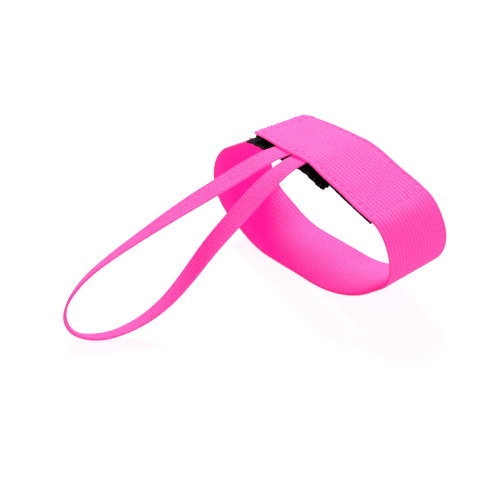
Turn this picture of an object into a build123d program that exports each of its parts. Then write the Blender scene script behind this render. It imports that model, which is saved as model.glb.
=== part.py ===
from build123d import *
import math
import os

# Wrist strap of wide ribbed elastic with a hook and loop closure, and a finger loop of narrow
# elastic. Millimetres, +Z up. The ring of wide elastic stands on its flat underside with its
# axis along Y, and the origin is the middle of that flat stretch. The closure is on top, its
# flap opens from the left, and the finger loop leaves the closure's near edge towards -Y.

# Wide elastic, rolled once round the wrist. Lengths, radii and angles are of its outer face,
# from the flat stretch up each side. The rounded ends take up what is left of the height.
band_width = 25.0
band_thickness = 1.2
ring_height = 42.9
rest_length = 20.0
right_foot_radius = 42.0
right_foot_angle = 38.0
right_side_length = 8.0
left_foot_radius = 30.0
left_foot_angle = 24.0
left_side_length = 8.0
left_slope_length = 10.4
shoulder_angle = 31.0
shoulder_radius = 15.0
inner_end_length = 11.6

# Closure flap, the outer end of the wide elastic, from its crease to its cut edge
flap_length = 55.5
flap_slope = 16.0
flap_slope_length = 27.2
flap_bend_radius = 15.0

# Loop tape sewn under the flap and hook tape sewn on the inner end, pressed together
loop_tape_thickness = 1.0
loop_tape_margin = 1.0
hook_tape_thickness = 1.0
hook_tape_on_shoulder = 5.0
hook_tape_on_slope = 9.0
hook_tape_overhang = 2.0
closure_gap = 0.15

# Narrow elastic of the finger loop. Its two ends are sewn side by side between the flap and
# the loop tape, and the loop swings on the near edge.
strap_width = 6.4
strap_thickness = 0.8
strap_gap = 0.6
strap_bend_clearance = 0.7
sewn_end_length = 9.0
strap_fit = 0.05
swing_clearance = 0.5

# Lockstitch seams
thread_width = 0.35
thread_height = 0.2
stitch_length = 2.1
stitch_pitch = 3.0
seam_inset = 1.8

near_edge = -band_width / 2
far_edge = band_width / 2
hook_tape_depth = band_thickness + loop_tape_thickness + closure_gap
inner_end_height = ring_height - hook_tape_depth - hook_tape_thickness
strap_height = ring_height - band_thickness - strap_thickness / 2
swing_axis_y = near_edge - swing_clearance

# Width direction of the finger loop's strip, at its ends and at its far end
strap_side_at_exit = Vector(1, 0, 0)
strap_side_at_far_end = Vector(0.8, -0.45, 0.38)
strap_sections = 60


def arc_rise(radius, angle):
    return radius * (1 - math.cos(math.radians(angle)))


def slope_rise(length, angle):
    return length * math.sin(math.radians(angle))


def end_radius(height, low_angle, high_angle):
    # The radius of a rounded end that climbs a height between two slopes
    return height / (math.cos(math.radians(low_angle)) + math.cos(math.radians(high_angle)))


def closure_outline(depth, slope_run, top_run):
    # A line at a depth under the flap's outer face, from the slope over the bend to the top
    direction = crease_direction
    inward = direction.rotate(Axis.Z, 90)
    bend_start = crease + direction * flap_slope_length + inward * depth
    with BuildLine() as outline:
        slope = Line(bend_start - direction * slope_run, bend_start)
        bend = JernArc(slope @ 1, direction, flap_bend_radius - depth, flap_slope)
        PolarLine(bend @ 1, top_run, direction=bend % 1)
    return outline.line


def on_flap(distance, y, turned=False):
    # A plane on the flap's outer face, at a distance from its crease, along or across it
    point = flap_wire @ (distance / flap_length)
    along = flap_wire % (distance / flap_length)
    x_dir = (0, 1, 0) if turned else (along.X, 0, along.Y)
    return Plane(origin=(point.X, y, point.Y), x_dir=x_dir, z_dir=(along.Y, 0, -along.X))


def spaced(low, high, pitch):
    # Places from low to high, both included, about a pitch apart
    count = max(1, round((high - low) / pitch))
    return [low + (high - low) * i / count for i in range(count + 1)]


# Outer face of the wide elastic in the XZ plane: from the middle of its rest up the right side
# to the crease, and up the left side and over the shoulder to its inner end
right_end_height = ring_height
right_end_height -= arc_rise(right_foot_radius, right_foot_angle)
right_end_height -= slope_rise(right_side_length, right_foot_angle)
right_end_height -= slope_rise(flap_slope_length, flap_slope)
right_end_height -= arc_rise(flap_bend_radius, flap_slope)
right_end_radius = end_radius(right_end_height, right_foot_angle, flap_slope)
left_end_height = inner_end_height
left_end_height -= arc_rise(left_foot_radius, left_foot_angle)
left_end_height -= slope_rise(left_side_length, left_foot_angle)
left_end_height -= slope_rise(left_slope_length, shoulder_angle)
left_end_height -= arc_rise(shoulder_radius, shoulder_angle)
left_end_radius = end_radius(left_end_height, left_foot_angle, shoulder_angle)
with BuildLine() as right_outline:
    Line((0, 0), (rest_length / 2, 0))
    right_foot = JernArc((rest_length / 2, 0), (1, 0), right_foot_radius, right_foot_angle)
    right_side = PolarLine(right_foot @ 1, right_side_length, direction=right_foot % 1)
    right_turn = 180 - flap_slope - right_foot_angle
    right_end = JernArc(right_side @ 1, right_side % 1, right_end_radius, right_turn)
with BuildLine() as left_outline:
    Line((0, 0), (-rest_length / 2, 0))
    left_foot = JernArc((-rest_length / 2, 0), (-1, 0), left_foot_radius, -left_foot_angle)
    left_side = PolarLine(left_foot @ 1, left_side_length, direction=left_foot % 1)
    left_turn = 180 - left_foot_angle - shoulder_angle
    left_end = JernArc(left_side @ 1, left_side % 1, left_end_radius, -left_turn)
    left_slope = PolarLine(left_end @ 1, left_slope_length, direction=left_end % 1)
    shoulder = JernArc(left_slope @ 1, left_slope % 1, shoulder_radius, -shoulder_angle)
    inner_end = PolarLine(shoulder @ 1, inner_end_length, direction=shoulder % 1)

# The closure starts where the right side ends
crease = right_end @ 1
crease_direction = right_end % 1
flap_bend_length = flap_bend_radius * math.radians(flap_slope)
flap_top_length = flap_length - flap_slope_length - flap_bend_length
flap_outline = closure_outline(0, flap_slope_length, flap_top_length)
flap_wire = Wire(flap_outline.edges())
loop_tape_outline = closure_outline(
    band_thickness,
    flap_slope_length,
    flap_top_length - loop_tape_margin,
)

# The flap's top is flat from the end of its bend
shoulder_end = inner_end @ 0
flat_start = crease.X + crease_direction.X * flap_slope_length
flat_start -= flap_bend_radius * math.sin(math.radians(flap_slope))

# Route of the finger loop's middle line, from its left sewn end round to its right one. It goes
# straight out, droops, and its far end lies on the surface that the ring stands on.
right_leg_x = flat_start - strap_bend_clearance - strap_width / 2
left_leg_x = right_leg_x - strap_width - strap_gap
strap_route = [
    (left_leg_x, swing_axis_y, strap_height),
    (left_leg_x - 0.3, swing_axis_y - 7.0, strap_height - 0.1),
    (left_leg_x - 1.7, swing_axis_y - 18.0, strap_height - 2.3),
    (-6.6, swing_axis_y - 29.0, strap_height - 5.7),
    (-8.4, -53.0, 31.8),
    (-10.3, -64.0, 27.4),
    (-12.0, -74.0, 23.2),
    (-13.3, -81.4, 19.2),
    (-14.0, -86.6, 14.7),
    (-14.3, -89.6, 10.1),
    (-13.4, -90.4, 5.6),
    (-10.7, -89.2, 2.6),
    (-7.2, -86.0, 1.9),
    (-4.2, -81.4, 1.9),
    (-2.2, -75.4, 2.9),
    (-0.2, -69.0, 5.4),
    (1.5, -62.0, 9.9),
    (2.7, -55.0, 16.4),
    (3.8, -48.0, 23.8),
    (4.3, swing_axis_y - 27.0, strap_height - 11.1),
    (right_leg_x + 0.5, swing_axis_y - 18.0, strap_height - 5.7),
    (right_leg_x + 0.2, swing_axis_y - 8.0, strap_height - 1.1),
    (right_leg_x, swing_axis_y, strap_height),
]

# The hook tape follows the closure from its slope to the shoulder of the inner end
with BuildLine() as hook_tape_outline:
    add(closure_outline(hook_tape_depth, hook_tape_on_slope, flat_start - shoulder_end.X))
    JernArc(
        (shoulder_end.X, inner_end_height + hook_tape_thickness),
        (-1, 0),
        shoulder_radius + hook_tape_thickness,
        math.degrees(hook_tape_on_shoulder / (shoulder_radius + hook_tape_thickness)),
    )

with BuildPart() as wrist_band:
    with BuildSketch(Plane.XZ):
        with BuildLine():
            add(right_outline.line)
            offset(amount=band_thickness, side=Side.LEFT)
        make_face()
        with BuildLine():
            add(left_outline.line)
            offset(amount=band_thickness, side=Side.RIGHT)
        make_face()
    extrude(amount=band_width / 2, both=True)
wrist_band.part.label = "wrist_band"

with BuildPart() as closure_flap:
    with BuildSketch(Plane.XZ):
        with BuildLine():
            add(flap_outline)
            offset(amount=band_thickness, side=Side.LEFT)
        make_face()
    extrude(amount=band_width / 2, both=True)
closure_flap.part.label = "closure_flap"

# Sewn ends of the narrow elastic, in pockets pressed into the loop tape's pile
sewn_end_places = [(x, near_edge + sewn_end_length / 2) for x in (left_leg_x, right_leg_x)]
with BuildPart() as finger_loop_sewn_ends:
    with BuildSketch(Plane.XY.offset(strap_height - strap_thickness / 2)):
        with Locations(*sewn_end_places):
            Rectangle(strap_width, sewn_end_length)
    extrude(amount=strap_thickness)
finger_loop_sewn_ends.part.label = "finger_loop_sewn_ends"

with BuildPart() as loop_tape:
    with BuildSketch(Plane.XZ):
        with BuildLine():
            add(loop_tape_outline)
            offset(amount=loop_tape_thickness, side=Side.LEFT)
        make_face()
    extrude(amount=band_width / 2, both=True)
    with BuildSketch(Plane.XY.offset(ring_height)):
        with Locations(*sewn_end_places):
            Rectangle(strap_width + 2 * strap_fit, sewn_end_length + 2 * strap_fit)
    pocket_depth = band_thickness + strap_thickness + strap_fit
    extrude(amount=-pocket_depth, mode=Mode.SUBTRACT)
loop_tape.part.label = "loop_tape"

with BuildPart() as hook_tape:
    with BuildSketch(Plane.XZ.offset(-far_edge)):
        with BuildLine():
            add(hook_tape_outline.line)
            offset(amount=hook_tape_thickness, side=Side.LEFT)
        make_face()
    extrude(amount=band_width + hook_tape_overhang)
hook_tape.part.label = "hook_tape"

# Finger loop: a flat strip along straight runs and tangent arcs, as large as the runs allow
route_points = [Vector(*point) for point in strap_route]
route_runs = [end - start for start, end in zip(route_points, route_points[1:])]
strap_radii = []
for run, next_run in zip(route_runs, route_runs[1:]):
    half_turn = math.radians(run.get_angle(next_run)) / 2
    strap_radii.append(0.45 * min(run.length, next_run.length) / math.tan(half_turn))
with BuildLine() as strap_line:
    FilletPolyline(*strap_route, radius=strap_radii)
strap_wire = strap_line.wire()
with BuildPart() as finger_loop:
    for section in range(strap_sections + 1):
        place = section / strap_sections
        twist = math.sin(math.pi * place) ** 2
        side = strap_side_at_exit * (1 - twist) + strap_side_at_far_end * twist
        across = Plane(origin=strap_wire @ place, x_dir=side, z_dir=strap_wire % place)
        with BuildSketch(across):
            Rectangle(strap_width, strap_thickness)
    loft(ruled=True)
finger_loop.part.label = "finger_loop"

# Seam round the loop tape, seen on the flap: two rows along it and one across each end
seam_start = seam_inset
seam_end = flap_length - loop_tape_margin - seam_inset
near_row = near_edge + seam_inset
far_row = far_edge - seam_inset
with BuildPart() as loop_tape_seam:
    for distance in spaced(seam_start + stitch_pitch, seam_end - stitch_pitch, stitch_pitch):
        for row in (near_row, far_row):
            with BuildSketch(on_flap(distance, row)):
                SlotOverall(stitch_length, thread_width)
    for distance in (seam_start, seam_end):
        for y in spaced(near_row, far_row, stitch_pitch):
            with BuildSketch(on_flap(distance, y, turned=True)):
                SlotOverall(stitch_length, thread_width)
    extrude(amount=thread_height)
loop_tape_seam.part.label = "loop_tape_seam"

# Seam that holds the hook tape, seen on the underside of the inner end
under_inner_end = Plane.XY.offset(inner_end_height - band_thickness)
seam_left = shoulder_end.X + thread_width
seam_right = (inner_end @ 1).X - seam_inset
with BuildPart() as hook_tape_seam:
    with BuildSketch(under_inner_end):
        long_rows = [
            (x, row)
            for x in spaced(seam_left + stitch_pitch, seam_right - stitch_pitch, stitch_pitch)
            for row in (near_row, far_row)
        ]
        with Locations(*long_rows):
            SlotOverall(stitch_length, thread_width)
        cross_rows = [
            (x, y)
            for x in (seam_left, seam_right)
            for y in spaced(near_row, far_row, stitch_pitch)
        ]
        with Locations(*cross_rows):
            SlotOverall(stitch_length, thread_width, rotation=90)
    extrude(amount=-thread_height)
hook_tape_seam.part.label = "hook_tape_seam"

print("finger loop's length", round(strap_wire.length, 1))
print("finger loop's bend radii", [round(radius, 1) for radius in strap_radii])
strap_share = finger_loop.part.volume / (strap_width * strap_thickness * strap_wire.length)
print("finger loop's volume over its section times its length", round(strap_share, 3))
print("end radii", round(right_end_radius, 3), round(left_end_radius, 3))
print("crease at", round(crease.X, 3), round(crease.Y, 3))

os.makedirs("parts", exist_ok=True)
export_step(wrist_band.part, "parts/wrist_band.step")
export_step(closure_flap.part, "parts/closure_flap.step")
export_step(hook_tape.part, "parts/hook_tape.step")
export_step(loop_tape.part, "parts/loop_tape.step")
export_step(finger_loop.part, "parts/finger_loop.step")
export_step(finger_loop_sewn_ends.part, "parts/finger_loop_sewn_ends.step")
export_step(loop_tape_seam.part, "parts/loop_tape_seam.step")
export_step(hook_tape_seam.part, "parts/hook_tape_seam.step")
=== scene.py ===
import math
import random

import bmesh
import bpy
from mathutils import Matrix, Vector


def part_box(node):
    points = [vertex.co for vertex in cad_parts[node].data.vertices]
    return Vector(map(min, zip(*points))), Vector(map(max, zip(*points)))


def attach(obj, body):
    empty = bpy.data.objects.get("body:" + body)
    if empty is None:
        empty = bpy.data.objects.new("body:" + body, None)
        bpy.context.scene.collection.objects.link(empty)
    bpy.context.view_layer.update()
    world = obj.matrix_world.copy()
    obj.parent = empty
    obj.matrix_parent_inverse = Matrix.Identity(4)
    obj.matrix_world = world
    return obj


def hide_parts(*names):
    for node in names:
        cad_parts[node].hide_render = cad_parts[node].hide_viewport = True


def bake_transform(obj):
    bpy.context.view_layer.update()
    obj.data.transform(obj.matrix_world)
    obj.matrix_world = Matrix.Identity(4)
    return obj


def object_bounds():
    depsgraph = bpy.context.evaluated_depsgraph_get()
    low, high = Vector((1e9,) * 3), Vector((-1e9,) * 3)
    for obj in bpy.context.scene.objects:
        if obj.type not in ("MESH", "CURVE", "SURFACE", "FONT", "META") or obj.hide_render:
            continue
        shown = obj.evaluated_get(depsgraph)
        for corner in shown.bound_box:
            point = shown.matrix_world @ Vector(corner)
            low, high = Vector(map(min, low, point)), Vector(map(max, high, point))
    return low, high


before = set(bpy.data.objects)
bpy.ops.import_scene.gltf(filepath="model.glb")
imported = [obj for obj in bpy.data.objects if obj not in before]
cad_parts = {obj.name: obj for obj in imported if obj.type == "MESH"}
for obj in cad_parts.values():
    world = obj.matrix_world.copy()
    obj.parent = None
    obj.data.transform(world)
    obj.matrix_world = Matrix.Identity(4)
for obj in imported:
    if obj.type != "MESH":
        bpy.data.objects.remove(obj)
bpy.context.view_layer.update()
print("frame loaded with", len(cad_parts), "nodes")

mm = 0.001
random.seed(7)

# Camera

cameraView = {
    "azimuth": 50,
    "elevation": 32,
    "target": (-0.03372, 0.0, -0.01397),
    "distance": 0.520,
    "lens": 105.74,
    "sensor": 36,
}

azimuth = math.radians(cameraView["azimuth"])
elevation = math.radians(cameraView["elevation"])
look = Vector((
    -math.sin(azimuth) * math.cos(elevation),
    math.cos(azimuth) * math.cos(elevation),
    -math.sin(elevation),
))
cameraData = bpy.data.cameras.new("camera")
cameraData.lens = cameraView["lens"]
cameraData.sensor_width = cameraView["sensor"]
cameraData.clip_start = 0.01
camera = bpy.data.objects.new("camera", cameraData)
camera.location = Vector(cameraView["target"]) - look * cameraView["distance"]
camera.rotation_euler = look.to_track_quat("-Z", "Y").to_euler()
bpy.context.scene.collection.objects.link(camera)
bpy.context.scene.camera = camera
print("camera placed")


# Shaders

class Signal:
    # A shader socket whose operators add Math nodes
    def __init__(self, paint, socket):
        self.paint = paint
        self.socket = socket

    def maths(self, operation, first, second=0.0):
        return self.paint.node("ShaderNodeMath", {"operation": operation}, {0: first, 1: second})

    def __add__(self, other):
        return self.maths("ADD", self, other)

    def __radd__(self, other):
        return self.maths("ADD", other, self)

    def __sub__(self, other):
        return self.maths("SUBTRACT", self, other)

    def __rsub__(self, other):
        return self.maths("SUBTRACT", other, self)

    def __mul__(self, other):
        return self.maths("MULTIPLY", self, other)

    def __rmul__(self, other):
        return self.maths("MULTIPLY", other, self)

    def __truediv__(self, other):
        return self.maths("DIVIDE", self, other)

    def __pow__(self, other):
        return self.maths("POWER", self, other)

    def __gt__(self, other):
        return self.maths("GREATER_THAN", self, other)

    def __lt__(self, other):
        return self.maths("LESS_THAN", self, other)

    def size(self):
        return self.maths("ABSOLUTE", self)

    def floor(self):
        return self.maths("FLOOR", self)

    def fraction(self):
        return self.maths("FRACT", self)

    def sine(self):
        return self.maths("SINE", self)

    def root(self):
        return self.maths("SQRT", self)

    def clamped(self):
        return self.paint.node("ShaderNodeClamp", {}, {0: self})

    def step(self, low, high):
        values = {"Value": self, "From Min": low, "From Max": high}
        return self.paint.node("ShaderNodeMapRange", {"interpolation_type": "SMOOTHSTEP"}, values)


class Paint:
    # A material, with one method that adds any node to it
    def __init__(self, name, fixed):
        self.material = bpy.data.materials.new(name)
        self.material.use_nodes = True
        self.tree = self.material.node_tree
        self.tree.nodes.clear()
        self.shader = self.tree.nodes.new("ShaderNodeBsdfPrincipled")
        for socket, value in fixed.items():
            self.shader.inputs[socket].default_value = value
        self.node("ShaderNodeOutputMaterial", {}, {"Surface": Signal(self, self.shader.outputs[0])})

    def node(self, kind, settings, values, output=0):
        made = self.tree.nodes.new(kind)
        for name, value in settings.items():
            setattr(made, name, value)
        for name, value in values.items():
            self.plug(made.inputs[name], value)
        return Signal(self, made.outputs[output]) if made.outputs else None

    def plug(self, socket, value):
        if isinstance(value, Signal):
            self.tree.links.new(value.socket, socket)
        else:
            socket.default_value = value

    def set(self, name, value):
        self.plug(self.shader.inputs[name], value)

    def flat(self):
        # Millimetres along and across a strip
        uv = self.node("ShaderNodeUVMap", {"uv_map": "flat"}, {})
        along = self.node("ShaderNodeSeparateXYZ", {}, {0: uv}, 0)
        across = self.node("ShaderNodeSeparateXYZ", {}, {0: uv}, 1)
        return uv, along, across

    def place(self, x, y, z=0.0):
        return self.node("ShaderNodeCombineXYZ", {}, {0: x, 1: y, 2: z})

    def noise(self, vector, scale, detail=2.0, roughness=0.5):
        values = {"Vector": vector, "Scale": scale, "Detail": detail, "Roughness": roughness}
        return self.node("ShaderNodeTexNoise", {}, values)

    def objectPlace(self):
        return self.node("ShaderNodeTexCoord", {}, {}, "Object")

    def mix(self, share, first, second):
        values = {0: share, 6: first, 7: second}
        return self.node("ShaderNodeMix", {"data_type": "RGBA", "blend_type": "MIX"}, values, 2)

    def bump(self, height):
        # Height is in millimetres
        values = {"Height": height, "Distance": mm, "Strength": 1.0}
        self.set("Normal", self.node("ShaderNodeBump", {}, values))


elasticFinish = {
    # The crown colour is a painted highlight on the rib tops, the groove colour painted shade between
    # the ribs
    "crown": (0.95, 0.125, 0.270, 1),
    "body": (0.90, 0.072, 0.200, 1),
    "paintedGrooveShade": (0.78, 0.036, 0.135, 1),
    "lilac": (0.34, 0.25, 0.40, 1),
    # Painted shade in the needle holes
    "hole": (0.35, 0.0, 0.05, 1),
    # Painted glow (emission) colours: the second is lower, for painted shade
    "paintedGlow": (0.86, 0.0, 0.300, 1),
    "glowInPaintedShade": (0.64, 0.0, 0.195, 1),
}


def elasticPaint(name, width, ribCount, wrapPitch, paintedEdgeGlow, seamRows=None):
    # Ribbed elastic: cords wrapped in fine yarn, with soft fuzz and rare lighter filaments.
    # Its fluorescent dye is given a painted glow (emission) that keeps even its shaded parts bright
    # pink. Its edges have a painted glow of their own: lighter as painted highlight on the fuzzy edges
    # of flap and finger loop, darker as painted shade along the ring's rims.
    finish = elasticFinish
    paint = Paint(name, {
        "Sheen Weight": 0.20,
        "Sheen Roughness": 0.5,
        "Sheen Tint": (1.0, 0.75, 0.95, 1),
        "Specular IOR Level": 0.12,
        "Emission Strength": 1.0,
    })
    uv, along, across = paint.flat()
    wobble = paint.noise(paint.place(along * 0.16, across * 0.55), 1.0) - 0.5
    rib = across * (ribCount / width) + ribCount / 2 + wobble * 0.22
    index = rib.floor()
    share = rib.fraction()
    edge = across.size().step(width / 2 - 0.45, width / 2 - 0.05)
    side = (share * 2 - 1).size() * (1 - edge)
    crown = 1 - side ** 3
    wrap = along / wrapPitch + index * 0.5 + side * 0.32
    wrap = wrap + (paint.noise(paint.place(along, index * 3.7), 0.9) - 0.5) * 0.7
    stitch = (wrap * (2 * math.pi)).sine() * 0.5 + 0.5
    yarn = paint.noise(paint.place(along * 1.4, across * 5.5), 1.6, 3.0, 0.65)
    mottle = paint.noise(paint.place(along * 0.8, across * 1.3), 1.5, 3.0, 0.7)
    fuzz = paint.noise(uv, 7.0, 3.0, 0.7)
    patch = paint.noise(uv, 0.11, 2.0, 0.5)
    height = crown * 0.10 + stitch * crown * 0.10 + yarn * 0.10 + fuzz * 0.06 + mottle * 0.08
    # Tone: lighter on rib tops and darker in the grooves, as painted highlight and painted shade, with
    # random yarn and mottle
    tone = crown * 0.34 + stitch * 0.20 + (yarn - 0.5) * 0.4 + (mottle - 0.5) * 1.7 + 0.36
    tone = tone.clamped()
    colour = paint.mix(tone, finish["paintedGrooveShade"], finish["body"])
    # Painted highlight: rib tops lightened towards the crown colour, in random patches
    light = crown.step(0.2, 1.0) * (0.3 + stitch * 0.5 + (mottle - 0.5) * 2.4) * (patch * 1.6)
    colour = paint.mix(light.clamped(), colour, finish["crown"])
    speck = paint.noise(paint.place(along * 0.7, across * 1.2), 2.3, 2.0, 0.6).step(0.56, 0.72)
    colour = paint.mix(speck * crown * 0.55, colour, finish["lilac"])
    shade = (1 - tone) * 0.75 + speck * crown * 0.5
    if seamRows:
        # Needle holes draw the cords together along each row
        rowY, firstX, lastX, pitch = seamRows
        away = (across.size() - rowY).size()
        spot = ((along / pitch).fraction() - 0.5).size() * pitch
        hole = (away * away + spot * spot).root()
        inside = (along > firstX) * (along < lastX)
        hole = (1 - hole.step(0.12, 0.50)) * inside
        height = height - hole * 0.5
        # The holes are painted darker and lower the glow: painted shade in them
        colour = paint.mix(hole * 0.4, colour, finish["hole"])
        shade = shade + hole * 0.3
    paint.set("Base Color", colour)
    # Painted glow, lowered towards the second glow colour as painted shade where the tone is dark, in
    # needle holes and at specks
    paintedGlow = paint.mix(shade.clamped(), finish["paintedGlow"], finish["glowInPaintedShade"])
    # The edges take their own painted glow: painted highlight on flap and finger loop, painted shade
    # on the ring
    paint.set("Emission Color", paint.mix(edge * 0.8, paintedGlow, paintedEdgeGlow))
    paint.set("Roughness", (0.74 + (fuzz - 0.5) * 0.25 - stitch * 0.08).clamped())
    paint.bump(height)
    return paint.material


def blackPaint(name, woven):
    # Black nylon: woven ground of a tape, or its bare monofilament
    paint = Paint(name, {
        "Specular IOR Level": 0.06,
    })
    if woven:
        uv, along, across = paint.flat()
        warp = (along * (math.pi / 0.42)).sine() * (across * (math.pi / 0.36)).sine()
        dust = paint.noise(uv, 5.0, 3.0, 0.7)
        fleck = paint.noise(uv, 1.7, 2.0, 0.6).step(0.68, 0.74)
        tone = (warp * 0.25 + 0.35 + (dust - 0.5) * 0.9).clamped()
        height = warp * 0.12 + dust * 0.10
    else:
        place = paint.objectPlace()
        dust = paint.noise(place, 1900.0, 2.0, 0.6)
        fleck = paint.noise(place, 700.0, 2.0, 0.5).step(0.66, 0.72)
        tone = dust
        height = dust * 0.03
    colour = paint.mix(tone, (0.0012, 0.0, 0.0006, 1), (0.0060, 0.0005, 0.0025, 1))
    colour = paint.mix(fleck * 0.35, colour, (0.10, 0.05, 0.08, 1))
    paint.set("Base Color", colour)
    paint.set("Roughness", (0.45 + (dust - 0.5) * 0.4 + (0.25 if woven else 0.0)).clamped())
    paint.bump(height)
    return paint.material


def threadPaint(name, colour, paintedPlyShade, paintedGlow):
    # Twisted thread or yarn in the elastic's dye, with a painted glow (emission) like the elastic's;
    # its darker twist bands are painted shade between the plies, mixed with random wear
    paint = Paint(name, {
        "Sheen Weight": 0.12, "Specular IOR Level": 0.15, "Emission Color": paintedGlow,
        "Emission Strength": 1.0,
    })
    place = paint.objectPlace()
    twist = paint.node("ShaderNodeTexWave", {"wave_type": "BANDS", "bands_direction": "DIAGONAL"}, {
        "Vector": place, "Scale": 900.0, "Distortion": 1.2, "Detail": 1.0,
    }, "Fac")
    wear = paint.noise(place, 420.0, 2.0)
    paint.set("Base Color", paint.mix((twist * 0.6 + wear * 0.5).clamped(), paintedPlyShade, colour))
    paint.set("Roughness", (0.62 + (wear - 0.5) * 0.3).clamped())
    paint.bump(twist * 0.04 + wear * 0.02)
    return paint.material


# Meshes

smoothAngle = math.radians(60)


def addPiece(name, mesh, material):
    bmesh.ops.remove_doubles(mesh, verts=mesh.verts, dist=1e-7)
    bmesh.ops.recalc_face_normals(mesh, faces=mesh.faces)
    data = bpy.data.meshes.new(name)
    mesh.to_mesh(data)
    mesh.free()
    data.shade_smooth()
    data.set_sharp_from_angle(angle=smoothAngle)
    data.materials.append(material)
    piece = bpy.data.objects.new(name, data)
    bpy.context.scene.collection.objects.link(piece)
    print(name, len(data.polygons), "faces")
    return piece


def makeSlab(name, cellsAcross, cellsAlong, place, flat, material):
    # Two grids, top and bottom, laid by place(across, along, side) and closed round their edges
    mesh = bmesh.new()
    uvLayer = mesh.loops.layers.uv.new("flat")
    flatPlaces = {}
    for side in (1, -1):
        old = set(mesh.verts)
        bmesh.ops.create_grid(mesh, x_segments=cellsAcross, y_segments=cellsAlong, size=0.5)
        for vertex in [v for v in mesh.verts if v not in old]:
            across, along = vertex.co.x + 0.5, vertex.co.y + 0.5
            flatPlaces[vertex] = flat(across, along)
            vertex.co = place(across, along, side) * mm
    edges = [edge for edge in mesh.edges if edge.is_boundary]
    bmesh.ops.bridge_loops(mesh, edges=edges)
    for face in mesh.faces:
        for loop in face.loops:
            loop[uvLayer].uv = flatPlaces[loop.vert]
    return addPiece(name, mesh, material)


def scatter(name, template, placings, material):
    # Many copies of one small mesh as one piece
    mesh = bmesh.new()
    for placing in placings:
        count = len(mesh.verts)
        mesh.from_mesh(template)
        mesh.verts.ensure_lookup_table()
        bmesh.ops.transform(mesh, matrix=placing, verts=mesh.verts[count:])
    return addPiece(name, mesh, material)


def smooth(value, low=0.0, high=1.0):
    # From 0 at low to 1 at high, which may also be the smaller of the two
    share = min(1.0, max(0.0, (value - low) / (high - low)))
    return share * share * (3 - 2 * share)


def through(rows, place):
    # A smooth curve through rows of place and value, level beyond both ends
    if place <= rows[0][0]:
        return rows[0][1]
    if place >= rows[-1][0]:
        return rows[-1][1]
    last = len(rows) - 1
    index = max(i for i in range(last) if rows[i][0] <= place)
    (x1, y1), (x2, y2) = rows[index], rows[index + 1]
    x0, y0 = rows[max(0, index - 1)]
    x3, y3 = rows[min(last, index + 2)]
    slope1 = (y2 - y0) / (x2 - x0) * (x2 - x1)
    slope2 = (y3 - y1) / (x3 - x1) * (x2 - x1)
    t = (place - x1) / (x2 - x1)
    return (
        (2 * t ** 3 - 3 * t ** 2 + 1) * y1 + (t ** 3 - 2 * t ** 2 + t) * slope1
        + (3 * t ** 2 - 2 * t ** 3) * y2 + (t ** 3 - t ** 2) * slope2
    )


class Outline:
    # A line in the XZ plane of runs and arcs, measured along its length in millimetres
    def __init__(self, x, z, heading):
        self.parts = []
        self.end = (x, z, math.radians(heading))
        self.length = 0.0

    def add(self, length, curvature=0.0):
        self.parts.append((self.length, self.end, curvature))
        self.length += length
        self.end = self.at(self.length)
        return self

    def run(self, length):
        return self.add(length)

    def arc(self, radius, degrees):
        return self.add(radius * math.radians(degrees), 1 / radius)

    def at(self, distance):
        start, (x, z, heading), curvature = self.parts[0]
        for part in self.parts:
            if part[0] <= distance:
                start, (x, z, heading), curvature = part
        step = distance - start
        if curvature:
            turned = heading + curvature * step
            x += (math.sin(turned) - math.sin(heading)) / curvature
            z -= (math.cos(turned) - math.cos(heading)) / curvature
            return x, z, turned
        return x + math.cos(heading) * step, z + math.sin(heading) * step, heading

    def moved(self, x, z):
        self.parts = [(s, (a + x, b + z, h), c) for s, (a, b, h), c in self.parts]
        self.end = (self.end[0] + x, self.end[1] + z, self.end[2])
        return self

    def place(self, distance, y, height):
        # Height is above the outer face, which is on the right of the line
        x, z, heading = self.at(distance)
        return settled(Vector((
            x + math.sin(heading) * height,
            y,
            z - math.cos(heading) * height,
        )))


settling = {
    # Rise of the closure along X, in millimetres, at its near and its far edge
    "nearRise": [
        (-34, 0.3), (-26, 0.6), (-17, 1.0), (-12, 1.2), (-7, 1.3), (-3, 1.3), (1, 1.2),
        (7, 1.1), (14, 0.9), (21, 0.8), (30, 0.8), (36, 0.9), (40, 0.9), (44, 0.3), (48, 0.0),
    ],
    "farRise": [
        (-34, -1.3), (-26, -0.9), (-17, 0.3), (-12, 0.3), (-6, 0.0), (-2, 0.1), (3, 0.5),
        (9, 0.6), (16, 1.3), (23, 1.7), (30, 1.8), (37, 1.9), (41, 1.2), (45, 0.2), (48, -0.1),
    ],
    "cornerDroop": 1.5,
    "farDrawnIn": 0.6,
    "edgeWave": 0.10,
    "ringWave": 0.25,
    "footRoll": 1.6,
}


def settled(point):
    # How the worn ring has settled: one gentle change of shape that every piece on it shares
    x, y, z = point
    far = min(1.0, max(0.0, (y + 12.5) / 25))
    near = 1 - far
    rise = through(settling["nearRise"], x) * near + through(settling["farRise"], x) * far
    rise -= settling["cornerDroop"] * smooth(y, 7.5, 13) * smooth(x, -4, -17)
    rise *= smooth(z, 24, 35) * smooth(y, -36, -14)
    side = math.atan2(z - 20, x)
    wave = settling["ringWave"] * math.sin(3 * side + 0.16 * y)
    wave *= smooth(z, 2, 14) * (1 - smooth(z, 36, 42)) * smooth(y, -16, -12)
    # The lower right of the near rim is rolled outwards
    roll = settling["footRoll"] * near * smooth(y, -36, -14)
    x += roll * smooth(x, 12, 36) * smooth(z, 28, 14)
    return Vector((
        x - settling["farDrawnIn"] * smooth(y, -6, 14) * smooth(x, 20, 44) + wave * math.cos(side),
        y + settling["edgeWave"] * math.sin(0.21 * x + 0.13 * z),
        z + rise,
    ))


# Outlines

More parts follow.
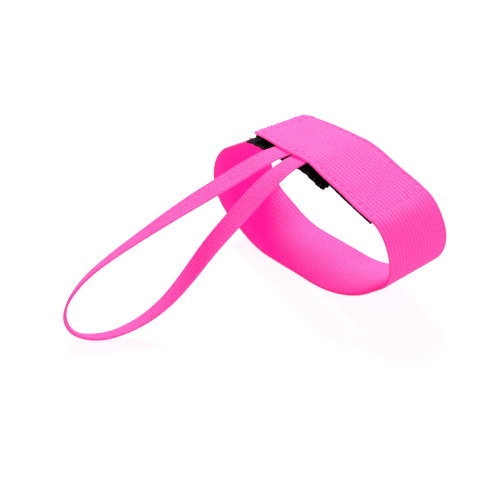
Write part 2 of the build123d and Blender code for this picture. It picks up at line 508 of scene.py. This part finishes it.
ring = {
    "innerEndLength": 11.6,
    "shoulderRadius": 15.0,
    "shoulderAngle": 31.0,
    "leftSlopeLength": 10.4,
    "leftEndRadius": 14.798,
    "leftSideLength": 8.0,
    "leftFootRadius": 30.0,
    "leftFootAngle": 24.0,
    "restLength": 20.0,
    "rightFootRadius": 42.0,
    "rightFootAngle": 38.0,
    "rightSideLength": 8.0,
    "rightEndRadius": 12.001,
    "flapSlope": 16.0,
    "flapSlopeLength": 27.2,
    "flapBendRadius": 15.0,
    "cutProud": 0.8,
}

bandLow, bandHigh = (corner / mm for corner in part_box("wrist_band"))
flapLow, flapHigh = (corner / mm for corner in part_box("closure_flap"))
nearEdge, farEdge = bandLow.y, bandHigh.y
bandWidth = farEdge - nearEdge

outline = Outline(0, 0, 180)
outline.run(ring["innerEndLength"])
outline.arc(ring["shoulderRadius"], ring["shoulderAngle"])
outline.run(ring["leftSlopeLength"])
outline.arc(ring["leftEndRadius"], 180 - ring["shoulderAngle"] - ring["leftFootAngle"])
outline.run(ring["leftSideLength"])
outline.arc(ring["leftFootRadius"], ring["leftFootAngle"])
restMiddle = outline.length + ring["restLength"] / 2
outline.run(ring["restLength"])
outline.arc(ring["rightFootRadius"], ring["rightFootAngle"])
outline.run(ring["rightSideLength"])
outline.arc(ring["rightEndRadius"], 180 - ring["rightFootAngle"] - ring["flapSlope"])
creaseAt = outline.length
outline.run(ring["flapSlopeLength"])
bendAt = outline.length
outline.arc(ring["flapBendRadius"], ring["flapSlope"])
topAt = outline.length
outline.moved(-outline.at(restMiddle)[0], bandLow.z - outline.at(restMiddle)[1])
flapTopLength = outline.at(topAt)[0] - flapLow.x
outline.run(flapTopLength)
cutAt = outline.length + ring["cutProud"]
flapLength = cutAt - creaseAt
creaseX, creaseZ, creaseHeading = outline.at(creaseAt)
shoulderX = outline.at(ring["innerEndLength"])[0]
print("strip is", round(outline.length, 1), "mm long, crease at", round(creaseX, 3), round(creaseZ, 3))
print("top of the flap", round(outline.at(topAt)[1], 3), "and of its box", round(flapHigh.z, 3))


# Wide elastic

wideElastic = {
    "ribs": 19,
    "cellsPerRib": 8,
    "thickness": 1.0,
    "ribDepth": 0.10,
    "ribFlatness": 3.2,
    "edgeRound": 0.30,
    "edgeReach": 0.5,
    "ringStep": 1.0,
    "flapStep": 0.7,
    "cutZigzag": 0.42,
    "cutRagged": 0.22,
    "seamDip": 0.14,
    "seamInset": 1.8,
    "wrapPitch": 0.62,
    # Painted glow at the edges: darker on the ring as painted shade along its rims, lighter on the
    # flap as painted highlight on its fuzzy edges
    "ringEdgePaintedShade": (0.62, 0.0, 0.190, 1),
    "flapEdgePaintedHighlight": (0.84, 0.055, 0.330, 1),
}

ribPitch = bandWidth / wideElastic["ribs"]
seamRow = farEdge - wideElastic["seamInset"]
loopTapeMargin = 1.0
stitchPitch = 3.0
raggedRibs = [random.uniform(-1, 1) for rib in range(wideElastic["ribs"] + 1)]


def ribSink(y):
    # How far the surface sinks between two cords
    share = ((y - nearEdge) / ribPitch) % 1.0
    return wideElastic["ribDepth"] * abs(2 * share - 1) ** wideElastic["ribFlatness"]


def bandPlace(start, end, isFlap):
    def place(across, along, side):
        y = nearEdge + bandWidth * across
        distance = start + (end - start) * along
        sink = ribSink(y)
        fromEdge = min(y - nearEdge, farEdge - y)
        if fromEdge < wideElastic["edgeReach"]:
            sink += wideElastic["edgeRound"] * (1 - fromEdge / wideElastic["edgeReach"]) ** 2
        if isFlap:
            fromCrease = distance - creaseAt
            row = math.exp(-((abs(y) - seamRow) / 0.45) ** 2)
            cross = math.exp(-((fromCrease - wideElastic["seamInset"]) / 0.6) ** 2)
            cutSeam = flapLength - loopTapeMargin - wideElastic["seamInset"]
            cross = max(cross, math.exp(-((fromCrease - cutSeam) / 0.6) ** 2))
            dip = wideElastic["seamDip"] * max(row, cross) * smooth(fromCrease, 0, 1.5)
            sink += dip if side > 0 else 0
            rib = min(wideElastic["ribs"] - 1, int((y - nearEdge) / ribPitch))
            share = (y - nearEdge) / ribPitch - rib
            zigzag = wideElastic["cutZigzag"] * (1 - abs(2 * share - 1))
            zigzag += wideElastic["cutRagged"] * raggedRibs[rib]
            distance += (zigzag - 0.3) * smooth(cutAt - distance, 2.5, 0)
            y += 0.16 * math.sin(0.33 * fromCrease) * smooth(fromCrease, 0, 9) * y / farEdge
        height = 0.04 - sink if side > 0 else -wideElastic["thickness"] - 0.02 + sink
        return outline.place(distance, y, height)
    return place


def bandFlat(start, end):
    def flat(across, along):
        return start + (end - start) * along, nearEdge + bandWidth * across
    return flat


seamEnd = cutAt - loopTapeMargin - wideElastic["seamInset"]
ringElastic = elasticPaint(
    "ribbedElastic", bandWidth, wideElastic["ribs"], wideElastic["wrapPitch"],
    wideElastic["ringEdgePaintedShade"],
)
flapElastic = elasticPaint(
    "ribbedElasticSewn", bandWidth, wideElastic["ribs"], wideElastic["wrapPitch"],
    wideElastic["flapEdgePaintedHighlight"], (seamRow, creaseAt + 2, seamEnd, stitchPitch),
)
cellsAcross = wideElastic["ribs"] * wideElastic["cellsPerRib"]
wristBand = makeSlab(
    "wristBand", cellsAcross, round(creaseAt / wideElastic["ringStep"]),
    bandPlace(0, creaseAt, False), bandFlat(0, creaseAt), ringElastic,
)
closureFlap = makeSlab(
    "closureFlap", cellsAcross, round(flapLength / wideElastic["flapStep"]),
    bandPlace(creaseAt, cutAt, True), bandFlat(creaseAt, cutAt), flapElastic,
)
print("wide elastic done")


# Frayed yarn ends at the flap's cut

fraying = {
    "perRib": 5,
    "length": (0.35, 1.1),
    "thickness": 0.055,
    "spread": 0.35,
}

fibre = bmesh.new()
bmesh.ops.create_cone(
    fibre, cap_ends=True, segments=4, radius1=1.0, radius2=0.35, depth=1.0,
    matrix=Matrix.Translation((0, 0, 0.5)),
)
fibreMesh = bpy.data.meshes.new("fibre")
fibre.to_mesh(fibreMesh)
fibre.free()
placings = []
for rib in range(wideElastic["ribs"]):
    for strand in range(fraying["perRib"]):
        y = nearEdge + ribPitch * (rib + random.uniform(0.15, 0.85))
        height = -wideElastic["thickness"] * random.uniform(0.1, 0.9)
        root = outline.place(cutAt - 0.35, y, height)
        lean = Vector((
            -1,
            random.uniform(-fraying["spread"], fraying["spread"]),
            random.uniform(-fraying["spread"], fraying["spread"]),
        ))
        size = Matrix.Diagonal((
            fraying["thickness"], fraying["thickness"], random.uniform(*fraying["length"]), 1,
        ))
        turn = lean.to_track_quat("Z", "Y").to_matrix().to_4x4()
        placings.append(Matrix.Scale(mm, 4) @ Matrix.Translation(root) @ turn @ size)
flapFraying = scatter(
    "flapFraying", fibreMesh, placings,
    threadPaint(
        "yarn", (0.90, 0.12, 0.28, 1), (0.80, 0.05, 0.18, 1), (0.80, 0.0, 0.27, 1),
    ),
)


# Loop tape under the flap

loopTape = {
    "ground": 0.6,
    "margin": loopTapeMargin,
    "depth": 1.0,
    "pilePitch": 1.25,
    "pileRadius": 0.42,
    "pileThread": 0.055,
    "pileTurn": -210,
    "pileSteps": 7,
    "pileFrom": 0.9,
    "pileInset": 0.8,
    "edgeRagged": 0.03,
    "cells": (40, 90),
}

tapePaint = blackPaint("blackTape", True)
filamentPaint = blackPaint("blackFilament", False)
loopEnd = cutAt - loopTape["margin"]
strapLow, strapHigh = (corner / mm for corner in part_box("finger_loop_sewn_ends"))


def overSewnEnds(distance, y):
    # The tape gives way where the strap's ends lie between it and the flap. Its underside comes
    # level with theirs, so some of their ribs show through it when the flap is open.
    x = outline.at(distance)[0]
    inX = smooth(x, strapLow.x - 1.0, strapLow.x) * (1 - smooth(x, strapHigh.x, strapHigh.x + 1.0))
    inY = 1 - smooth(y, strapHigh.y, strapHigh.y + 1.5)
    return inX * inY


def loopTapePlace(across, along, side):
    y = nearEdge + bandWidth * across + 0.05
    distance = creaseAt + 0.05 + (loopEnd - creaseAt - 0.05) * along
    y += loopTape["edgeRagged"] * math.sin(distance * 2.3) * (2 * across - 1)
    give = overSewnEnds(distance, y)
    top = -loopTape["depth"] - 0.04 - 0.80 * give
    bottom = -loopTape["depth"] - loopTape["ground"] - 0.42 * give
    return outline.place(distance, y, top if side > 0 else bottom)


loopTapeBase = makeSlab(
    "loopTapeBase", *loopTape["cells"], loopTapePlace,
    lambda across, along: (along * (loopEnd - creaseAt), across * bandWidth), tapePaint,
)

pileLoop = bmesh.new()
bmesh.ops.create_circle(pileLoop, segments=4, radius=loopTape["pileThread"])
bmesh.ops.transform(
    pileLoop, verts=pileLoop.verts,
    matrix=Matrix.Translation((loopTape["pileRadius"], 0, 0)),
)
bmesh.ops.spin(
    pileLoop, geom=pileLoop.edges[:], axis=(0, 1, 0), cent=(0, 0, 0), dvec=(0, 0, 0),
    angle=math.radians(loopTape["pileTurn"]), steps=loopTape["pileSteps"],
    use_merge=False, use_duplicate=False,
)
pileMesh = bpy.data.meshes.new("pileLoop")
pileLoop.to_mesh(pileMesh)
pileLoop.free()
placings = []
rowsAlong = int((loopEnd - creaseAt - 2 * loopTape["pileInset"]) / loopTape["pilePitch"])
rowsAcross = int((bandWidth - 2 * loopTape["pileInset"]) / loopTape["pilePitch"])
for row in range(rowsAlong):
    for column in range(rowsAcross + 1):
        distance = creaseAt + loopTape["pileFrom"] + row * loopTape["pilePitch"]
        distance += random.uniform(-0.3, 0.3)
        y = nearEdge + loopTape["pileInset"] + column * loopTape["pilePitch"]
        y += random.uniform(-0.3, 0.3)
        y = min(farEdge - 0.5, y + (row % 2) * 0.4)
        if overSewnEnds(distance, y) > 0.02:
            continue
        foot = outline.place(distance, y, -loopTape["depth"] - loopTape["ground"] + 0.05)
        down = outline.place(distance, y, -loopTape["depth"] - loopTape["ground"] - 1.0) - foot
        turn = down.to_track_quat("Z", "Y").to_matrix().to_4x4()
        spin = Matrix.Rotation(random.uniform(0, math.pi), 4, "Z")
        lean = Matrix.Rotation(random.uniform(-0.5, 0.5), 4, "X")
        tall = Matrix.Diagonal((1, 1, random.uniform(0.85, 1.25), 1))
        placings.append(Matrix.Scale(mm, 4) @ Matrix.Translation(foot) @ turn @ spin @ lean @ tall)
loopTapePile = scatter("loopTapePile", pileMesh, placings, filamentPaint)
print("loop tape done")


# Hook tape on the inner end

hookTape = {
    "onShoulder": 4.3,
    "onSlope": 6.8,
    "depth": 2.35,
    "thickness": 1.0,
    "ground": 0.5,
    "hookPitch": 1.45,
    "hookHeight": 1.05,
    "hookThread": 0.10,
    "endHeights": 28,
    "cells": (54, 76),
    "stemShare": 0.52,
    "crookTurn": 215,
    "crookSteps": 6,
    "hooksFrom": 0.8,
    "hooksInset": 0.45,
}

bendX, bendZ, bendHeading = outline.at(bendAt)
inward = Vector((-math.sin(bendHeading), math.cos(bendHeading)))
along = Vector((math.cos(bendHeading), math.sin(bendHeading)))
hookStart = Vector((bendX, bendZ)) + inward * hookTape["depth"] - along * hookTape["onSlope"]
hookOutline = Outline(hookStart.x, hookStart.y, math.degrees(bendHeading))
hookOutline.run(hookTape["onSlope"])
hookOutline.arc(ring["flapBendRadius"] - hookTape["depth"], ring["flapSlope"])
hookOutline.run(hookOutline.end[0] - shoulderX)
hookShoulder = ring["shoulderRadius"] + hookTape["thickness"]
hookOutline.arc(hookShoulder, math.degrees(hookTape["onShoulder"] / hookShoulder))
hookLow, hookHigh = (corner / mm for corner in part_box("hook_tape"))
hookNear, hookFar = hookLow.y, hookHigh.y
raggedEnds = [random.uniform(-1, 1) for step in range(hookTape["endHeights"])]


def endRagged(y):
    # Uneven cut of the woven ground, from a few random heights
    place = (y - hookNear) / (hookFar - hookNear) * (len(raggedEnds) - 2)
    low = int(place)
    share = place - low
    return raggedEnds[low] * (1 - share) + raggedEnds[low + 1] * share


def hookTapePlace(across, along, side):
    y = hookNear + (hookFar - hookNear) * across
    distance = hookOutline.length * along
    cut = endRagged(y) * 0.45 + 0.35 * math.sin(y * 9.0)
    distance += cut * smooth(distance, 2.0, 0)
    distance += (0.8 * endRagged(hookFar - y + hookNear) + 0.3 * math.sin(y * 7.0)) * smooth(
        hookOutline.length - distance, 2.2, 0
    )
    y += 0.14 * math.sin(distance * 1.9) * (1 - across)
    height = -hookTape["thickness"] + (hookTape["ground"] if side > 0 else 0)
    return hookOutline.place(distance, y, height)


hookTapeBase = makeSlab(
    "hookTapeBase", *hookTape["cells"], hookTapePlace,
    lambda across, along: (along * hookOutline.length, across * (hookFar - hookNear)), tapePaint,
)

hook = bmesh.new()
bmesh.ops.create_circle(hook, cap_ends=True, segments=5, radius=hookTape["hookThread"])
stemTop = hookTape["hookHeight"] * hookTape["stemShare"]
made = bmesh.ops.extrude_face_region(hook, geom=hook.faces[:])
top = [item for item in made["geom"] if isinstance(item, bmesh.types.BMVert)]
bmesh.ops.translate(hook, verts=top, vec=(0, 0, stemTop))
hook.faces.ensure_lookup_table()
topFaces = [face for face in hook.faces if all(v in top for v in face.verts)]
crownRadius = hookTape["hookHeight"] - stemTop - hookTape["hookThread"]
bmesh.ops.spin(
    hook, geom=topFaces, axis=(0, 1, 0), cent=(crownRadius, 0, stemTop), dvec=(0, 0, 0),
    angle=math.radians(hookTape["crookTurn"]), steps=hookTape["crookSteps"],
    use_merge=False, use_duplicate=False,
)
hookMesh = bpy.data.meshes.new("hook")
hook.to_mesh(hookMesh)
hook.free()
placings = []
hookRows = int((hookOutline.length - 1.2) / hookTape["hookPitch"])
hookColumns = int((hookFar - hookNear - 0.8) / hookTape["hookPitch"])
for row in range(hookRows + 1):
    for column in range(hookColumns + 1):
        distance = hookTape["hooksFrom"] + row * hookTape["hookPitch"]
        distance += random.uniform(-0.12, 0.12)
        y = hookNear + hookTape["hooksInset"] + column * hookTape["hookPitch"]
        y += random.uniform(-0.1, 0.1)
        foot = hookOutline.place(distance, y, -1.02 + hookTape["ground"])
        up = hookOutline.place(distance, y, 0.5) - foot
        turn = up.to_track_quat("Z", "Y").to_matrix().to_4x4()
        facing = 0 if (row + column) % 2 else math.pi
        spin = Matrix.Rotation(facing + random.uniform(-0.25, 0.25), 4, "Z")
        lean = Matrix.Rotation(random.uniform(-0.12, 0.12), 4, "X")
        placings.append(Matrix.Scale(mm, 4) @ Matrix.Translation(foot) @ turn @ spin @ lean)
hookTapeHooks = scatter("hookTapeHooks", hookMesh, placings, filamentPaint)

bristles = {
    "count": 150,
    "length": (0.5, 1.7),
    "thickness": 0.07,
}

placings = []
for strand in range(bristles["count"]):
    y = random.uniform(hookNear + 0.2, hookFar - 0.2)
    atLeft = strand % 3 != 0
    distance = hookOutline.length - 0.3 if atLeft else 0.3
    ahead = 1 if atLeft else -1
    root = hookOutline.place(distance, y, random.uniform(-0.95, -0.55))
    lean = hookOutline.place(distance + ahead, y, -0.75) - hookOutline.place(distance, y, -0.75)
    lean += Vector((0, random.uniform(-0.5, 0.5), random.uniform(-0.2, 0.45)))
    size = Matrix.Diagonal((
        bristles["thickness"], bristles["thickness"], random.uniform(*bristles["length"]), 1,
    ))
    turn = lean.to_track_quat("Z", "Y").to_matrix().to_4x4()
    placings.append(Matrix.Scale(mm, 4) @ Matrix.Translation(root) @ turn @ size)
hookTapeBristles = scatter("hookTapeBristles", fibreMesh, placings, filamentPaint)
print("hook tape done")


# Seams

seams = {
    "inset": wideElastic["seamInset"],
    "pitch": stitchPitch,
    "stitchLength": 2.2,
    "threadWidth": 0.34,
    "threadHeight": 0.22,
    "sunk": -0.15,
}

stitch = bmesh.new()
bmesh.ops.create_uvsphere(stitch, u_segments=8, v_segments=5, radius=0.5)
for vertex in stitch.verts:
    # The ends dive into the elastic
    vertex.co.z -= 0.55 * (2 * vertex.co.x) ** 4
stitchMesh = bpy.data.meshes.new("stitch")
stitch.to_mesh(stitchMesh)
stitch.free()


def stitchPlacing(path, distance, y, height, turned, outwards=1):
    middle = path.place(distance, y, height)
    ahead = (path.place(distance + 0.1, y, height) - path.place(distance - 0.1, y, height))
    ahead.normalize()
    sideways = Vector((0, 1, 0))
    up = (path.place(distance, y, height + outwards) - middle).normalized()
    x, y = (sideways, ahead) if turned else (ahead, sideways)
    turn = Matrix((x, y, up)).transposed().to_4x4()
    size = Matrix.Diagonal((
        seams["stitchLength"], seams["threadWidth"], seams["threadHeight"] * 2, 1,
    ))
    skew = Matrix.Rotation(random.uniform(-0.06, 0.06), 4, "Z")
    return Matrix.Scale(mm, 4) @ Matrix.Translation(middle) @ turn @ skew @ size


def spaced(low, high, pitch):
    count = max(1, round((high - low) / pitch))
    return [low + (high - low) * step / count for step in range(count + 1)]


seamThread = threadPaint(
    "sewingThread", (0.90, 0.085, 0.22, 1), (0.80, 0.05, 0.16, 1), (0.80, 0.0, 0.27, 1),
)
placings = []
firstSeam = creaseAt + seams["inset"]
for distance in spaced(firstSeam + seams["pitch"], seamEnd - seams["pitch"], seams["pitch"]):
    for row in (-seamRow, seamRow):
        placings.append(stitchPlacing(outline, distance, row, seams["sunk"], False))
for distance in (firstSeam, seamEnd):
    for y in spaced(-seamRow, seamRow, seams["pitch"]):
        placings.append(stitchPlacing(outline, distance, y, seams["sunk"], True))
flapSeam = scatter("flapSeam", stitchMesh, placings, seamThread)

placings = []
innerSeamStart = seams["inset"]
innerSeamEnd = ring["innerEndLength"] - 0.35
under = -wideElastic["thickness"] - seams["sunk"]
for distance in spaced(innerSeamStart + 3, innerSeamEnd - 3, seams["pitch"]):
    for row in (-seamRow, seamRow):
        placings.append(stitchPlacing(outline, distance, row, under, False, -1))
for distance in (innerSeamStart, innerSeamEnd):
    for y in spaced(-seamRow, seamRow, seams["pitch"]):
        placings.append(stitchPlacing(outline, distance, y, under, True, -1))
innerEndSeam = scatter("innerEndSeam", stitchMesh, placings, seamThread)
print("seams done")


# Finger loop of narrow elastic

fingerLoop = {
    "width": 6.4,
    "thickness": 0.8,
    "ribs": 7,
    "cellsPerRib": 6,
    "ribDepth": 0.08,
    "step": 0.8,
    "wrapPitch": 0.5,
    # Painted highlight: a lighter glow on the finger loop's fuzzy edges
    "paintedEdgeGlow": (0.86, 0.016, 0.300, 1),
    "edgeReach": 0.35,
    "edgeRound": 0.2,
    "aimReach": 0.0008,
    "rollFrom": (0.65, -0.545, 0.53),
    "roll": [
        (0, -39.2), (9, -39.2), (16, -46), (26, -51), (40, -48), (52, -37), (62, -27),
        (74, -17), (86, -10), (96, -5), (104, 2), (110, 12), (118, 19), (128, 29),
        (140, 42), (151, 53), (162, 62), (172, 66), (181, 60), (190, 46), (195.5, 39.2),
        (204.5, 39.2),
    ],
}

strapRoute = [
    (-0.0031, -0.0035, 0.0413),
    (-0.0031, -0.0080, 0.0413),
    (-0.0031, -0.0130, 0.0413),
    (-0.0034, -0.0200, 0.0412),
    (-0.0048, -0.0310, 0.0390),
    (-0.0066, -0.0420, 0.0356),
    (-0.0084, -0.0530, 0.0318),
    (-0.0103, -0.0640, 0.0274),
    (-0.0120, -0.0740, 0.0232),
    (-0.0133, -0.0814, 0.0192),
    (-0.0140, -0.0866, 0.0147),
    (-0.0143, -0.0896, 0.0101),
    (-0.0134, -0.0904, 0.0056),
    (-0.0107, -0.0892, 0.0026),
    (-0.0072, -0.0860, 0.0019),
    (-0.0042, -0.0814, 0.0019),
    (-0.0022, -0.0754, 0.0029),
    (-0.0002, -0.0690, 0.0054),
    (0.0015, -0.0620, 0.0099),
    (0.0027, -0.0550, 0.0164),
    (0.0038, -0.0480, 0.0238),
    (0.0043, -0.0400, 0.0296),
    (0.0044, -0.0310, 0.0352),
    (0.0044, -0.0210, 0.0398),
    (0.0043, -0.0130, 0.0413),
    (0.0042, -0.0080, 0.0413),
    (0.0041, -0.0035, 0.0413),
]

curve = bpy.data.curves.new("strapRoute", "CURVE")
curve.dimensions = "3D"
spline = curve.splines.new("NURBS")
spline.points.add(len(strapRoute) - 1)
for point, place in zip(spline.points, strapRoute):
    point.co = (*place, 1)
spline.order_u = 3
spline.use_endpoint_u = True
spline.resolution_u = 16
routeObject = bpy.data.objects.new("strapRoute", curve)
bpy.context.scene.collection.objects.link(routeObject)
bpy.context.view_layer.update()
routeMesh = bpy.data.meshes.new_from_object(routeObject)
routeLine = [vertex.co.copy() for vertex in routeMesh.vertices]
bpy.data.objects.remove(routeObject)
bpy.data.meshes.remove(routeMesh)
routeReach = [0.0]
for first, second in zip(routeLine, routeLine[1:]):
    routeReach.append(routeReach[-1] + (second - first).length)
strapLength = routeReach[-1]
print("finger loop with its sewn ends", round(strapLength / mm, 1), "mm")


def onRoute(distance):
    # The place at a distance along the route's line, in metres
    distance = min(max(distance, 0.0), strapLength)
    index = 0
    while index < len(routeReach) - 2 and routeReach[index + 1] < distance:
        index += 1
    span = routeReach[index + 1] - routeReach[index]
    share = (distance - routeReach[index]) / span
    return routeLine[index].lerp(routeLine[index + 1], share)


def rollAt(distance):
    rows = fingerLoop["roll"]
    return through(rows, distance / strapLength * rows[-1][0])


def strapFrame(distance):
    reach = fingerLoop["aimReach"]
    forward = (onRoute(distance + reach) - onRoute(distance - reach)).normalized()
    towards = Vector(fingerLoop["rollFrom"])
    towards = (towards - forward * towards.dot(forward)).normalized()
    sideways = forward.cross(towards)
    roll = math.radians(rollAt(distance))
    width = towards * math.cos(roll) + sideways * math.sin(roll)
    return onRoute(distance), width, forward.cross(width)


strapCells = round(strapLength / mm / fingerLoop["step"])
strapFrames = {}


def strapPlace(across, along, side):
    key = round(along * strapCells)
    if key not in strapFrames:
        strapFrames[key] = strapFrame(strapLength * key / strapCells)
    middle, width, normal = strapFrames[key]
    y = fingerLoop["width"] * (across - 0.5)
    share = (across * fingerLoop["ribs"]) % 1.0
    sink = fingerLoop["ribDepth"] * abs(2 * share - 1) ** wideElastic["ribFlatness"]
    fromEdge = fingerLoop["width"] * min(across, 1 - across)
    if fromEdge < fingerLoop["edgeReach"]:
        sink += fingerLoop["edgeRound"] * (1 - fromEdge / fingerLoop["edgeReach"]) ** 2
    height = side * (fingerLoop["thickness"] / 2 + 0.02 - sink)
    place = settled(middle / mm)
    return place + width * y + normal * height


strapElastic = elasticPaint(
    "narrowElastic", fingerLoop["width"], fingerLoop["ribs"], fingerLoop["wrapPitch"],
    fingerLoop["paintedEdgeGlow"],
)
fingerStrap = makeSlab(
    "fingerStrap", fingerLoop["ribs"] * fingerLoop["cellsPerRib"], strapCells, strapPlace,
    lambda across, along: (
        along * strapLength / mm, fingerLoop["width"] * (across - 0.5),
    ), strapElastic,
)
print("finger loop done")


# Bodies, and the model parts that the pieces replace

hingeStart = (creaseX * mm, 0, creaseZ * mm)
hingeReach = 8 * mm
hingeEnd = (
    creaseX * mm + math.cos(creaseHeading) * hingeReach,
    0,
    creaseZ * mm + math.sin(creaseHeading) * hingeReach,
)
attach(wristBand, "band")
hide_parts("wrist_band")
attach(hookTapeBase, "band")
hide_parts("hook_tape")
for piece in (hookTapeHooks, hookTapeBristles):
    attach(piece, "band")
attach(innerEndSeam, "band")
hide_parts("hook_tape_seam")

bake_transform(closureFlap)
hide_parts("closure_flap")
flapLength * mm
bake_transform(loopTapeBase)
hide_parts("loop_tape")
(loopEnd - creaseAt) * mm
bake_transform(loopTapePile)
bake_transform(flapSeam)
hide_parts("loop_tape_seam")
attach(flapFraying, "flap")

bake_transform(fingerStrap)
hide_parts("finger_loop", "finger_loop_sewn_ends")
[settled(point / mm) * mm for point in routeLine]
print("pieces placed on their bodies")


# Floor and light

studio = {
    "floor": 3.0,
    "floorColour": (0.24, 0.24, 0.24, 1),
    "world": (1.0, 1.0, 1.0, 1),
    "worldStrength": 0.18,
    "floorGlow": 0.87,
    "grainColour": (0.27, 0.27, 0.27, 1),
    "grainScale": 90.0,
    "floorGap": 0.0001,
    "aim": (0, -0.03, 0.02),
}

floorMesh = bmesh.new()
bmesh.ops.create_grid(floorMesh, x_segments=2, y_segments=2, size=studio["floor"] / 2)
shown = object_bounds()
floorHeight = min(0, shown[0].z) - studio["floorGap"]
bmesh.ops.translate(floorMesh, verts=floorMesh.verts, vec=(0, 0, floorHeight))
floorPaint = Paint("floor", {
    "Roughness": 0.9,
    "Specular IOR Level": 0.1,
    "Emission Color": (1.0, 1.0, 1.0, 1),
    "Emission Strength": studio["floorGlow"],
})
grain = floorPaint.noise(floorPaint.objectPlace(), studio["grainScale"])
floorPaint.set("Base Color", floorPaint.mix(grain, studio["floorColour"], studio["grainColour"]))
floor = addPiece("floor", floorMesh, floorPaint.material)
floor.visible_diffuse = False  # its glow whitens the ground and leaves the object alone

world = bpy.data.worlds.new("studio")
world.use_nodes = True
background = world.node_tree.nodes["Background"]
background.inputs["Color"].default_value = studio["world"]
background.inputs["Strength"].default_value = studio["worldStrength"]
bpy.context.scene.world = world

lamps = {
    "key": {
        "from": (-0.56, 0.31, 0.64), "size": 0.40, "power": 18.5, "colour": (0.93, 0.97, 1.0),
    },
    "fill": {
        "from": (0.80, 0.0, 0.20), "size": 0.15, "power": 4.4, "colour": (1.0, 0.97, 1.0),
    },
}

for name, lamp in lamps.items():
    light = bpy.data.lights.new(name, "AREA")
    light.shape = "DISK"
    light.size = lamp["size"]
    light.energy = lamp["power"]
    light.color = lamp["colour"]
    lampObject = bpy.data.objects.new(name, light)
    lampObject.location = lamp["from"]
    aim = Vector(studio["aim"]) - Vector(lamp["from"])
    lampObject.rotation_euler = aim.to_track_quat("-Z", "Y").to_euler()
    bpy.context.scene.collection.objects.link(lampObject)

bpy.context.scene.view_settings.view_transform = "Standard"
print("studio lit")
